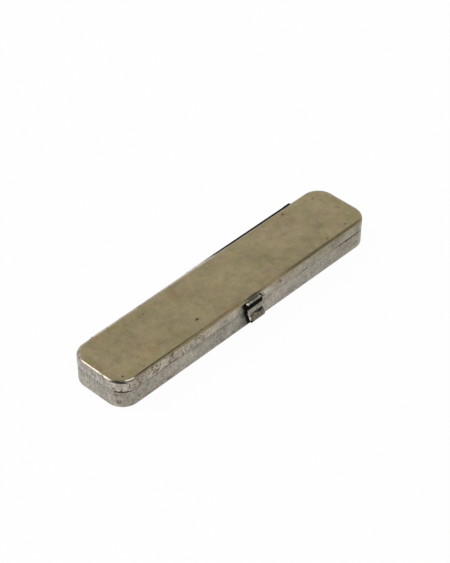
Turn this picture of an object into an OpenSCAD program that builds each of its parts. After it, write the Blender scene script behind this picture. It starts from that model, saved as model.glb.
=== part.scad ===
// Long pocket case of plated sheet metal for pencils, closed at rest.
// X runs along the case, the clasp is on the -Y side, the hinge on the +Y side, Z is up.
// The origin is the middle of the underside. All sizes are in millimetres.

/* [Case] */
// Length of the lid over its outside
case_l = 200; // [190:1:260]
// Width of the lid over its outside
case_w = 41.4; // [34:0.1:70]
// Height of the closed case
case_h = 18.5; // [18:0.1:26]
// Height of the lid's lower edge above the underside
seam_z = 12; // [10.5:0.1:12.5]
// How far the base's rim stands up inside the closed lid
rim_h = 2.6; // [1.5:0.1:3]
// Radius of the lid's corners, seen from above
corner_r = 11.2; // [6:0.1:14]
// Rounding along the lid's top edge
top_r = 2.1; // [1:0.1:2.6]
// Rounding along the base's bottom edge
bottom_r = 2.1; // [1:0.1:3]
// Thickness of the pressed sheet
sheet = 0.4; // [0.3:0.05:0.6]
// Gap between the base's rim and the lid, all round
lid_gap = 0.15; // [0.12:0.01:0.3]

/* [Hinge] */
// Length of the hinge over its end knuckles
hinge_l = 159; // [90:1:160]
// Radius of the hinge's pin
hinge_pin_r = 1.2; // [0.8:0.05:1.4]
// Running gap round the hinge's pin
hinge_fit = 0.05; // [0.03:0.01:0.08]
// Wall of the rolled knuckles
knuckle_wall = 0.7; // [0.4:0.05:0.8]
// Wall of the two stouter end knuckles
end_wall = 0.85; // [0.4:0.05:1]
// Length of each end knuckle
end_l = 4.4; // [3:0.1:12]
// Length of the middle knuckle
mid_l = 12; // [6:0.5:30]
// Side gap between neighbouring knuckles
knuckle_gap = 0.15; // [0.1:0.01:0.3]
// Gap between the knuckles and the back of the lid
hinge_gap = 0.3; // [0.2:0.05:0.6]
// Height of the hinge's axis above the seam
hinge_rise = 0.2; // [0:0.05:0.3]
// Thickness of the hinge's two leaves
leaf_t = 0.6; // [0.45:0.05:0.8]
// Gap between the lid's leaf and the lid's round top edge
lid_leaf_gap = 0.5; // [0.2:0.1:1]
// Height of the leaf on the base
base_leaf_h = 5.5; // [3:0.1:7]
// How far the pin's round heads stand out
pin_head_h = 0.5; // [0.3:0.05:1]
// How far the pin's heads reach over the bore, all round
pin_head_lap = 0.4; // [0.2:0.05:0.6]

/* [Clasp] */
// Place of the clasp along the front, from the middle
clasp_x = 1.2; // [-60:0.1:60]
// Width of the clasp over its ears
clasp_w = 13.4; // [10:0.1:24]
// Thickness of the clasp's sheet
clasp_t = 0.4; // [0.3:0.05:0.5]
// Radius of the clasp's pin
clasp_pin_r = 0.4; // [0.3:0.05:0.5]
// Running gap round the clasp's pin
clasp_fit = 0.05; // [0.03:0.01:0.08]
// Depth of the clasp's pin below the top of the case
clasp_pin_drop = 1.3; // [1:0.1:1.8]
// Width of each ear
ear_w = 1.7; // [1:0.1:3]
// Side gap between an ear and the tongue's knuckle
ear_gap = 0.12; // [0.1:0.01:0.2]
// How far the clasp's plate stops above the lid's lower edge
plate_gap = 0.4; // [0.2:0.1:1]
// How much narrower than the ears the tongue is, on each side
tongue_inset = 0.9; // [0.3:0.1:1.5]
// Gap between the tongue and the plate behind it
tongue_gap = 0.1; // [0.1:0.05:0.4]
// Depth of the tongue's ridge below the seam
ridge_drop = 1.3; // [0.5:0.1:2]
// Radius of the ridge over its outside
ridge_r = 1.9; // [1.3:0.1:2.2]
// How far the ridge stands out of the tongue's face
ridge_out = 1.05; // [0.5:0.05:1.2]
// Inside radius of the bends beside the ridge
ridge_bend_r = 0.5; // [0.3:0.1:0.8]
// Depth below the seam at which the tongue bends out into its lip
lip_drop = 5.6; // [5:0.1:6.5]
// Inside radius of the bend into the lip
lip_bend_r = 0.8; // [0.5:0.1:1.2]
// How far the lip stands out of the tongue's face
lip_out = 2.6; // [2.2:0.1:4]
// Radius over the outside of the lip's curled edge
curl_r = 0.7; // [0.6:0.05:0.9]
// Radius of the lip's two corners, seen from above
lip_corner_r = 1.5; // [0.5:0.1:2.5]

/* [Catch] */
// How much narrower than the tongue the catch is, on each side
catch_inset = 0.8; // [0.3:0.1:2]
// Height of the catch's plate
catch_h = 4; // [3:0.1:5]
// Gap between the catch's plate and the lid's lower edge
catch_gap = 0.5; // [0.3:0.1:0.8]
// Height of the catch's bead over its plate
bead_h = 0.55; // [0.3:0.05:0.55]

/* [Hidden] */
$fn = 64;
nickel = [0.60, 0.58, 0.52];
bright_nickel = [0.72, 0.70, 0.65];
olive_nickel = [0.55, 0.52, 0.41];
dark_steel = [0.33, 0.32, 0.30];

// The lid overhangs the base by its own sheet and the gap
overhang = sheet + lid_gap;
base_l = case_l - 2 * overhang;
base_w = case_w - 2 * overhang;
base_r = corner_r - overhang;
base_h = seam_z + rim_h;
lid_h = case_h - seam_z;

// Hinge, with depths counted outwards from the lid's back face
hinge_bore_r = hinge_pin_r + hinge_fit;
knuckle_r = hinge_bore_r + knuckle_wall;
end_r = hinge_bore_r + end_wall;
hinge_y = hinge_gap + max(knuckle_r, end_r);
hinge_z = seam_z + hinge_rise;
base_leaf_top = seam_z - hinge_gap;
lid_knuckle_l = (hinge_l - mid_l) / 2 - end_l - 2 * knuckle_gap;
lid_knuckle_x = mid_l / 2 + knuckle_gap;

// Clasp, with depths counted outwards from the lid's front face
clasp_bore_r = clasp_pin_r + clasp_fit;
ear_r = clasp_bore_r + clasp_t;
tongue_y = clasp_t + tongue_gap;
clasp_pin_y = tongue_y + ear_r;
clasp_pin_z = case_h - clasp_pin_drop;
tongue_w = clasp_w - 2 * tongue_inset;
tongue_knuckle_w = clasp_w - 2 * (ear_w + ear_gap);
// The tongue's wide part starts below the ears, clear of their webs
ear_web_z = clasp_pin_z - ear_r - tongue_gap;
shoulder_z = ear_web_z - 2 * ear_gap;
ridge_z = seam_z - ridge_drop;
lip_z = seam_z - lip_drop;
arc_steps = 10;

// Points along an arc round a centre, from one angle to another
function arc(centre, r, from, to) =
    [for (i = [0:arc_steps])
        let (a = from + (to - from) * i / arc_steps)
        centre + r * [cos(a), sin(a)]];

// One face of the tongue's sheet from its shoulder down to the end of its curl.
// The depth y is 0 at the sheet's inner face, and off is the sheet's depth at this face.
ridge_y = clasp_t + ridge_out - ridge_r;
bend_reach = ridge_r + ridge_bend_r;
bend_a = acos((clasp_t + ridge_bend_r - ridge_y) / bend_reach);
bend_dz = bend_reach * sin(bend_a);
bend_y = clasp_t + ridge_bend_r;
curl_y = clasp_t + lip_out - curl_r;
curl_z = lip_z - lip_bend_r - curl_r;
curl_end_a = -60;
function tongue_face(off) =
    let (inner = clasp_t - off)
    concat(
        [[off, shoulder_z]],
        arc([bend_y, ridge_z + bend_dz], ridge_bend_r + inner, 180, 180 + bend_a),
        arc([ridge_y, ridge_z], ridge_r - inner, bend_a, -bend_a),
        arc([bend_y, ridge_z - bend_dz], ridge_bend_r + inner, 180 - bend_a, 180),
        arc([clasp_t + lip_bend_r, lip_z], lip_bend_r + inner, 180, 270),
        arc([curl_y, curl_z], curl_r - inner, 90, curl_end_a));

function reversed(points) = [for (i = [len(points) - 1:-1:0]) points[i]];

// Extrudes a (depth, height) outline along X, centred on X
module along_x(length) {
    translate([-length / 2, 0, 0])
        rotate([90, 0, 90])
            linear_extrude(length)
                children();
}

// A round bar along X, centred on X
module bar_x(r, length) {
    rotate([0, 90, 0])
        cylinder(r = r, h = length, center = true);
}

// Places a piece whose depth counts outwards from the lid's front or back face
module on_front() {
    translate([clasp_x, -case_w / 2, 0])
        mirror([0, 1, 0])
            children();
}

module on_back() {
    translate([0, case_w / 2, 0])
        children();
}

// Section of a pressed pan from its corner's axis out to its wall
module pan_section(h, r, edge) {
    square([r - edge, sheet]);
    translate([r - sheet, edge])
        square([sheet, h - edge]);
    translate([r - edge, edge])
        intersection() {
            difference() {
                circle(edge);
                circle(edge - sheet);
            }
            translate([0, -edge])
                square(edge);
        }
}

// A pressed pan with round corners and a round lower edge, open at the top
module pan(l, w, h, r, edge) {
    run = l - 2 * r;
    span = w - 2 * r;
    translate([-run / 2, -span / 2, 0])
        cube([run, span, sheet]);
    for (side = [0, 180])
        rotate([0, 0, side]) {
            translate([0, span / 2, 0])
                along_x(run)
                    pan_section(h, r, edge);
            rotate([0, 0, 90])
                translate([0, run / 2, 0])
                    along_x(span)
                        pan_section(h, r, edge);
            for (turn = [0, 1])
                mirror([turn, 0, 0])
                    translate([run / 2, span / 2, 0])
                        rotate_extrude(angle = 90)
                            pan_section(h, r, edge);
        }
}

module base_pan() {
    color(nickel)
        pan(base_l, base_w, base_h, base_r, bottom_r);
}

module lid_pan() {
    color(olive_nickel)
        translate([0, 0, case_h])
            rotate([180, 0, 0])
                pan(case_l, case_w, lid_h, corner_r, top_r);
}

// The base's leaf is soldered to its back wall, and webs carry its three knuckles
module base_knuckle(r, length) {
    translate([0, hinge_y, hinge_z])
        bar_x(r, length);
    translate([-length / 2, -overhang, hinge_z - r])
        cube([length, overhang + hinge_y, base_leaf_top - hinge_z + r]);
}

module hinge_base_leaf() {
    color(dark_steel)
        on_back()
            difference() {
                union() {
                    translate([-hinge_l / 2, -overhang, base_leaf_top - base_leaf_h])
                        cube([hinge_l, leaf_t, base_leaf_h]);
                    base_knuckle(knuckle_r, mid_l);
                    for (side = [-1, 1])
                        translate([side * (hinge_l - end_l) / 2, 0, 0])
                            base_knuckle(end_r, end_l);
                }
                translate([0, hinge_y, hinge_z])
                    bar_x(hinge_bore_r, hinge_l + 1);
            }
}

// The lid's leaf is soldered to its skirt and rolled into two long knuckles
module hinge_lid_leaf() {
    color(dark_steel)
        on_back()
            for (side = [-1, 1])
                translate([side * (lid_knuckle_x + lid_knuckle_l / 2), 0, 0])
                    difference() {
                        union() {
                            translate([-lid_knuckle_l / 2, 0, seam_z])
                                cube([lid_knuckle_l, leaf_t, lid_h - top_r - lid_leaf_gap]);
                            translate([0, hinge_y, hinge_z])
                                bar_x(knuckle_r, lid_knuckle_l);
                        }
                        translate([0, hinge_y, hinge_z])
                            bar_x(hinge_bore_r, lid_knuckle_l + 1);
                    }
}

// The pin's ends are peened over into low round heads
module pin_head(base_r, h) {
    dome_r = (base_r * base_r + h * h) / (2 * h);
    rotate_extrude()
        intersection() {
            translate([0, h - dome_r])
                circle(dome_r);
            square([base_r, h]);
        }
}

module hinge_pin() {
    color(dark_steel)
        on_back()
            translate([0, hinge_y, hinge_z]) {
                bar_x(hinge_pin_r, hinge_l);
                for (side = [-1, 1])
                    translate([side * hinge_l / 2, 0, 0])
                        rotate([0, side * 90, 0])
                            pin_head(hinge_bore_r + pin_head_lap, pin_head_h);
            }
}

// The plate is soldered to the lid's skirt, and its top is folded out into two ears
module clasp_plate() {
    color(nickel)
        on_front()
            difference() {
                union() {
                    translate([-clasp_w / 2, 0, seam_z + plate_gap])
                        cube([clasp_w, clasp_t, ear_web_z - seam_z - plate_gap]);
                    for (side = [-1, 1])
                        translate([side * (clasp_w - ear_w) / 2, 0, 0]) {
                            translate([-ear_w / 2, 0, ear_web_z])
                                cube([ear_w, clasp_pin_y, clasp_pin_z - ear_web_z]);
                            translate([0, clasp_pin_y, clasp_pin_z])
                                bar_x(ear_r, ear_w);
                        }
                }
                translate([0, clasp_pin_y, clasp_pin_z])
                    bar_x(clasp_bore_r, clasp_w + 1);
            }
}

// The tongue hangs from its knuckle, bulges over the catch and ends in a curled lip
module clasp_tongue() {
    color(bright_nickel)
        on_front()
            difference() {
                union() {
                    translate([0, clasp_pin_y, clasp_pin_z])
                        bar_x(ear_r, tongue_knuckle_w);
                    translate([-tongue_knuckle_w / 2, tongue_y, shoulder_z])
                        cube([tongue_knuckle_w, clasp_t, clasp_pin_z - shoulder_z - ear_r / 4]);
                    intersection() {
                        translate([0, tongue_y, 0])
                            along_x(tongue_w)
                                polygon(concat(tongue_face(0), reversed(tongue_face(clasp_t))));
                        translate([0, 0, curl_z - curl_r])
                            linear_extrude(shoulder_z - curl_z + curl_r)
                                lip_outline();
                    }
                }
                translate([0, clasp_pin_y, clasp_pin_z])
                    bar_x(clasp_bore_r, tongue_knuckle_w + 1);
            }
}

// The tongue seen from above, round at the lip's two corners
module lip_outline() {
    depth = tongue_y + clasp_t + lip_out;
    inset = tongue_w / 2 - lip_corner_r;
    polygon(concat(
        [[-tongue_w / 2, 0], [tongue_w / 2, 0]],
        arc([inset, depth - lip_corner_r], lip_corner_r, 0, 90),
        arc([-inset, depth - lip_corner_r], lip_corner_r, 90, 180)));
}

module clasp_pin() {
    color(dark_steel)
        on_front()
            translate([0, clasp_pin_y, clasp_pin_z])
                bar_x(clasp_pin_r, clasp_w);
}

// The catch is soldered to the base's front wall under the tongue's ridge
module catch_plate() {
    width = tongue_w - 2 * catch_inset;
    top = seam_z - catch_gap;
    dome_r = bead_h;
    color(nickel)
        on_front()
            translate([0, -overhang, 0]) {
                translate([-width / 2, 0, top - catch_h])
                    cube([width, clasp_t, catch_h]);
                intersection() {
                    translate([0, clasp_t, ridge_z])
                        bar_x(dome_r, width);
                    translate([-width / 2, clasp_t, ridge_z - dome_r])
                        cube([width, dome_r, 2 * dome_r]);
                }
            }
}

base_pan();
lid_pan();
hinge_base_leaf();
hinge_lid_leaf();
hinge_pin();
clasp_plate();
clasp_tongue();
clasp_pin();
catch_plate();
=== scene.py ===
# Looks for a long pocket case of plated sheet metal, made for pencils: two pressed pans, a long hinge and a clasp.
# Everything is in metres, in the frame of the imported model: X along the case, the clasp on -Y, the hinge on +Y.
import math

import bmesh
import bpy
from mathutils import Matrix, Vector


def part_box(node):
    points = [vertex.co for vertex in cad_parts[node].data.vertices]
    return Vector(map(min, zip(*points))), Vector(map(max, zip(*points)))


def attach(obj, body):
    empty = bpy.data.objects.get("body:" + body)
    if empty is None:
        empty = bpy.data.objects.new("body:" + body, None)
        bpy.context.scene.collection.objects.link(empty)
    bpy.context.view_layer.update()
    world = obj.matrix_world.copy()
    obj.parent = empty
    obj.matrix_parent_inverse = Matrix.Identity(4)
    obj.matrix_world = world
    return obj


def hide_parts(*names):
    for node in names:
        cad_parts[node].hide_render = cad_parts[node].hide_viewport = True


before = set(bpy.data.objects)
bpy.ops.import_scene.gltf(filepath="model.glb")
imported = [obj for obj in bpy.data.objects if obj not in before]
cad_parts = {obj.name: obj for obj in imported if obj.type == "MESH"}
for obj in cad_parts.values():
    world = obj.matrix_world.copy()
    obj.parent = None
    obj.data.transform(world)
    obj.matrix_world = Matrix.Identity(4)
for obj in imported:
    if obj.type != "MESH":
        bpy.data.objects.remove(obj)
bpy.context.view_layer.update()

# The lid
# One blank of thin steel, pressed into a shallow pan with round corners and a round top edge, then nickel plated.
# Its skirt drops over the base's rim. Handling has turned the top face olive and stained the skirt.
lid_low, lid_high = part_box("lid_pan")
sheet = 0.0004
lid_corner = 0.0112
edge_round, edge_run = 0.0021, 0.0029
# The back bulges a little, left of the middle, where the case has been squeezed
bulge_out, bulge_x, bulge_reach = 0.00042, -0.014, 0.038
squeezed = {"Bulge out": bulge_out, "Bulge at": bulge_x, "Bulge reach": bulge_reach}
dent_depth = 0.00009


def shade(red, green, blue):
    """A colour as it is read off a screen, 0 to 255, in the linear numbers that a shader takes."""
    parts = [c / 255 for c in (red, green, blue)]
    return tuple(c / 12.92 if c < 0.04 else ((c + 0.055) / 1.055) ** 2.4 for c in parts) + (1.0,)


class Wire:
    """A value on its way between nodes. Arithmetic on wires lays Math nodes, and node() lays any other."""

    def __init__(self, tree, socket=None):
        self.tree, self.socket = tree, socket

    def node(self, kind, settings=None, sockets=None, out=0):
        laid = self.tree.nodes.new(kind)
        for name, value in (settings or {}).items():
            setattr(laid, name, value)
        for name, value in (sockets or {}).items():
            if isinstance(value, Wire):
                self.tree.links.new(value.socket, laid.inputs[name])
            else:
                laid.inputs[name].default_value = value
        return Wire(self.tree, laid.outputs[out] if laid.outputs else None)

    def pick(self, name):
        return Wire(self.tree, self.socket.node.outputs[name])

    def axes(self):
        split = self.node("ShaderNodeSeparateXYZ", {}, {0: self})
        return split.pick("X"), split.pick("Y"), split.pick("Z")

    def maths(self, operation, first, second=0.0, clamp=False):
        return self.node("ShaderNodeMath", {"operation": operation, "use_clamp": clamp}, {0: first, 1: second})

    def of(self, operation):
        """This value through a Math node of one input, such as a sine."""
        return self.maths(operation, self)

    def __add__(self, other):
        return self.maths("ADD", self, other)

    def __radd__(self, other):
        return self.maths("ADD", other, self)

    def __sub__(self, other):
        return self.maths("SUBTRACT", self, other)

    def __rsub__(self, other):
        return self.maths("SUBTRACT", other, self)

    def __mul__(self, other):
        return self.maths("MULTIPLY", self, other)

    def __rmul__(self, other):
        return self.maths("MULTIPLY", other, self)

    def __truediv__(self, other):
        return self.maths("DIVIDE", self, other)

    def ramp(self, start, count):
        """0 before start, 1 from start + count on, straight between them."""
        return self.maths("DIVIDE", self - start, count, clamp=True)

    def rise(self, low, high):
        """0 at low and 1 at high, with soft ends; low may be the larger."""
        return self.node("ShaderNodeMapRange", {"interpolation_type": "SMOOTHSTEP"},
                         {"Value": self, "From Min": low, "From Max": high})

    def most(self, other):
        return self.maths("MAXIMUM", self, other)

    def least(self, other):
        return self.maths("MINIMUM", self, other)

    def vector(self, operation, second=(0, 0, 0), out=0):
        return self.node("ShaderNodeVectorMath", {"operation": operation}, {0: self, 1: second}, out)

    def tint(self, under, over):
        """The colour over laid on the colour under where this mask is 1."""
        return self.node("ShaderNodeMix", {"data_type": "RGBA"}, {0: self, 6: under, 7: over}, out=2)

    def lit(self, share):
        """This colour made lighter or darker by a share that varies over the surface."""
        return self.node("ShaderNodeVectorMath", {"operation": "SCALE"}, {0: self, 3: share})


def start_shape(name, inputs):
    """A new Geometry Nodes tree with these named inputs, and the wire that leads them in."""
    tree = bpy.data.node_groups.new(name, "GeometryNodeTree")
    tree.interface.new_socket("Geometry", in_out="OUTPUT", socket_type="NodeSocketGeometry")
    tree.interface.new_socket("Geometry", in_out="INPUT", socket_type="NodeSocketGeometry")
    for label in inputs:
        tree.interface.new_socket(label, in_out="INPUT", socket_type="NodeSocketFloat")
    tree.interface.new_socket("Metal", in_out="INPUT", socket_type="NodeSocketMaterial")
    return tree, Wire(tree).node("NodeGroupInput")


def end_shape(wire, given):
    """Ends a tree: instances made real, smooth shading, the metal set."""
    real = wire.node("GeometryNodeRealizeInstances", {}, {"Geometry": wire})
    smooth = real.node("GeometryNodeSetShadeSmooth", {}, {0: real})
    coated = smooth.node("GeometryNodeSetMaterial", {}, {"Geometry": smooth, "Material": given.pick("Metal")})
    coated.node("NodeGroupOutput", {}, {"Geometry": coated})


def plain_mesh(worked):
    """The object with its modifiers worked into its mesh."""
    bpy.context.view_layer.update()
    graph = bpy.context.evaluated_depsgraph_get()
    made = bpy.data.meshes.new_from_object(
        worked.evaluated_get(graph), preserve_all_data_layers=True, depsgraph=graph)
    made.name = worked.name
    worked.modifiers.clear()
    worked.data = made
    return worked


def shaped(name, tree, values, start=None):
    """A piece pressed out by a Geometry Nodes tree, as a plain mesh."""
    piece = bpy.data.objects.new(name, start or bpy.data.meshes.new(name))
    bpy.context.scene.collection.objects.link(piece)
    press = piece.modifiers.new("press", "NODES")
    press.node_group = tree
    sockets = {s.name: s.identifier for s in tree.interface.items_tree if s.in_out == "INPUT"}
    for label, value in values.items():
        press[sockets[label]] = value
    return plain_mesh(piece)


def pressed_pan_tree():
    """A round-cornered pan in one closed skin. Rings run round it; one row leads from the middle of its
    face over the round edge, up the wall, over the rim and back inside to the middle."""
    tree, given = start_shape("pressed_pan", [
        "Length", "Width", "Height", "Corner radius", "Edge radius", "Edge run", "Sheet", "Step", "Step height",
        "Face height", "Up", "Bulge out", "Bulge at", "Bulge reach", "Dent depth", "Dent seed"])
    # Steps of the grid round the outline, and along one row
    corner, long_side, short_side = 14, 72, 12
    face, edge, wall, lip = 14, 8, 16, 6
    around = 4 * corner + 2 * (long_side + short_side)
    across = 2 * (face + edge + wall) + lip
    blank = given.node("GeometryNodeMeshGrid", {}, {
        "Size X": float(around), "Size Y": float(across), "Vertices X": around + 1, "Vertices Y": across + 1})
    place = given.node("GeometryNodeInputPosition")
    ring, row, _ = place.axes()
    ring, row = ring + around / 2, row + across / 2

    # Round the outline, starting at the front left corner
    radius, width = given.pick("Corner radius"), given.pick("Width")
    half_length, half_width = given.pick("Length") / 2, width / 2
    core_x, core_y = half_length - radius, half_width - radius
    starts = [long_side, long_side + corner + short_side, 2 * (long_side + corner) + short_side,
              2 * (long_side + short_side) + 3 * corner]
    turns = [ring.ramp(start, corner) for start in starts]
    angle = (turns[0] + turns[1] + turns[2] + turns[3]) * (math.pi / 2) - math.pi / 2
    out_x, out_y = angle.of("COSINE"), angle.of("SINE")
    centre_x = core_x * (ring.ramp(0, long_side) * 2 - ring.ramp(starts[1] + corner, long_side) * 2 - 1)
    centre_y = core_y * (ring.ramp(starts[0] + corner, short_side) * 2
                         - ring.ramp(starts[2] + corner, short_side) * 2 - 1)

    # Along one row, from the middle of the face to the rim and back
    rounding, thick = given.pick("Edge radius"), given.pick("Sheet")
    climb = face + edge
    rim = climb + wall
    down = rim + lip
    bend = (row.ramp(face, edge) - row.ramp(down + wall, edge)) * (math.pi / 2)
    over = row.ramp(rim, lip) * math.pi
    inner = (1 - over.of("COSINE")) / 2
    bend_r = rounding - thick * inner
    up = row.ramp(climb, wall) - row.ramp(down, wall)
    spread = row.ramp(0, face) - row.ramp(across - face, face)
    run = 1 + (given.pick("Edge run") / rounding - 1) * out_y.of("ABSOLUTE")
    inset = (rounding - bend_r * bend.of("SINE")) * run
    rise = (rounding - bend_r * bend.of("COSINE") + up * (given.pick("Height") - thick / 2 - rounding)
            + thick / 2 * over.of("SINE"))

    # Below the step the wall stands out a little. The face closes on its long middle line
    blur = 0.0005
    step_height = given.pick("Step height")
    reach = radius - inset + given.pick("Step") * rise.rise(step_height + blur, step_height - blur)
    wide_x, wide_y = centre_x + reach * out_x, centre_y + reach * out_y
    spine = half_length - half_width
    spine_x = wide_x.least(spine).most(0 - spine)
    at_x = spine_x + (wide_x - spine_x) * spread
    at_y = wide_y * spread

    # Shallow dents in the face and the walls, and the squeezed back
    up_sign = given.pick("Up")
    flat = place.node("ShaderNodeCombineXYZ", {}, {"X": at_x, "Y": at_y, "Z": given.pick("Dent seed")})
    dents = flat.node("ShaderNodeTexNoise", {}, {"Vector": flat, "Scale": 34.0, "Detail": 1.0})
    rise = rise + dents * given.pick("Dent depth") * 3 * (1 - spread * spread)
    wall_dents = (dents - 0.5) * given.pick("Dent depth") * 2 * (up * (1 - up) * 4)
    at_x = at_x + out_x * wall_dents
    at_y = (at_y + out_y * wall_dents) * up_sign
    off = (at_x - given.pick("Bulge at")) / given.pick("Bulge reach")
    swell = given.pick("Bulge out") * (0 - off * off).of("EXPONENT")
    side = (at_y / half_width).most(0.0)
    at_y = at_y + swell * side * side
    at_z = given.pick("Face height") + rise * up_sign
    moved = place.node("ShaderNodeCombineXYZ", {}, {"X": at_x, "Y": at_y, "Z": at_z})
    marked = blank.node("GeometryNodeStoreNamedAttribute", {"data_type": "FLOAT", "domain": "POINT"},
                        {"Geometry": blank, "Name": "inside", "Value": inner})
    pressed = marked.node("GeometryNodeSetPosition", {}, {"Geometry": marked, "Position": moved})
    closed = pressed.node("GeometryNodeMergeByDistance", {}, {"Geometry": pressed, "Distance": 0.000002})
    end_shape(closed, given)
    return tree


def start_metal(name):
    """A new metal, and the wire of its place on the case in millimetres."""
    metal = bpy.data.materials.new(name)
    metal.use_nodes = True
    metal.node_tree.nodes.clear()
    place = Wire(metal.node_tree).node("ShaderNodeTexCoord", out="Object")
    return metal, place.vector("MULTIPLY", (1000, 1000, 1000))


def finish_metal(metal, colour, roughness, metallic, height, depth, grime_and_shade=0.0):
    """Lays the shader. The height map runs from 0 to 1, and depth is its whole relief in metres. Where the last value
    is 1 the metal lies under a dull black, which stands for grime and for painted shade."""
    wire = Wire(metal.node_tree)
    relief = wire.node("ShaderNodeBump", {}, {"Height": height, "Strength": 1.0, "Distance": depth})
    surface = wire.node("ShaderNodeBsdfPrincipled", {}, {
        "Base Color": colour, "Roughness": roughness, "Metallic": metallic, "Normal": relief})
    # Dull black, standing for grime and for painted shade
    grime = wire.node("ShaderNodeBsdfDiffuse", {}, {"Color": shade(24, 22, 17), "Normal": relief})
    covered = wire.node("ShaderNodeMixShader", {}, {0: grime_and_shade, 1: surface, 2: grime})
    wire.node("ShaderNodeOutputMaterial", {}, {"Surface": covered})
    return metal


def cloud(at, size, detail=2.0, roughness=0.5, stretch=(1, 1, 1), shift=0.0):
    """Soft mottling from 0 to 1, in patches about size millimetres across."""
    spread = tuple(1 / (size * s) for s in stretch)
    where = at.node("ShaderNodeVectorMath", {"operation": "MULTIPLY_ADD"},
                    {0: at, 1: spread, 2: (shift, shift * 1.7, shift * 0.6)})
    return where.node("ShaderNodeTexNoise", {}, {
        "Vector": where, "Scale": 1.0, "Detail": detail, "Roughness": roughness})


def stored(at, name):
    """A value that the shape has stored on its points under this name."""
    return at.node("ShaderNodeAttribute", {"attribute_name": name}, {}, out="Fac")


def spots(at, places, grain, ragged=0.5, soft=0.6):
    """Ragged stains as one mask. Each has its place, its reach along each axis, and its strength."""
    mask = None
    for place, size, strength in places:
        off = at.vector("SUBTRACT", place).vector("DIVIDE", size).vector("LENGTH", out="Value")
        one = (off + (grain - 0.5) * 2 * ragged).rise(1.0, 1.0 - soft) * strength
        mask = one if mask is None else mask.most(one)
    return mask


def on_top(stains):
    """Stains on the top face, given as x, y, reach along x, reach along y, and strength."""
    return [((x, y, 18.5), (along, across, 2), strength) for x, y, along, across, strength in stains]


def scratches(at, axis, angle, length, width, share, shift=0.0):
    """Fine straight scratches in the plane square to an axis, at an angle in degrees."""
    turned = at.node("ShaderNodeVectorRotate", {"rotation_type": axis}, {"Vector": at, "Angle": math.radians(angle)})
    stretch = (length, width, 60) if axis == "Z_AXIS" else (length, 60, width)
    return cloud(turned, 1.0, 1.0, 0.5, stretch, shift).rise(0.70 - share, 0.76 - share)


def clasp_shadow(x, y, z, grain, start, full):
    """Painted shadow of the clasp: a dark streak down the front wall, from its left ear to under its lip. It thickens
    from start to full, in millimetres past the streak's slanting middle line."""
    off = x + 1.86 + z * 0.29 + (grain - 0.5) * 2
    return off.rise(start, full) * off.rise(4.0, 2.0) * z.rise(17.9, 16.6) * y.rise(-18.9, -19.5)


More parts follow.
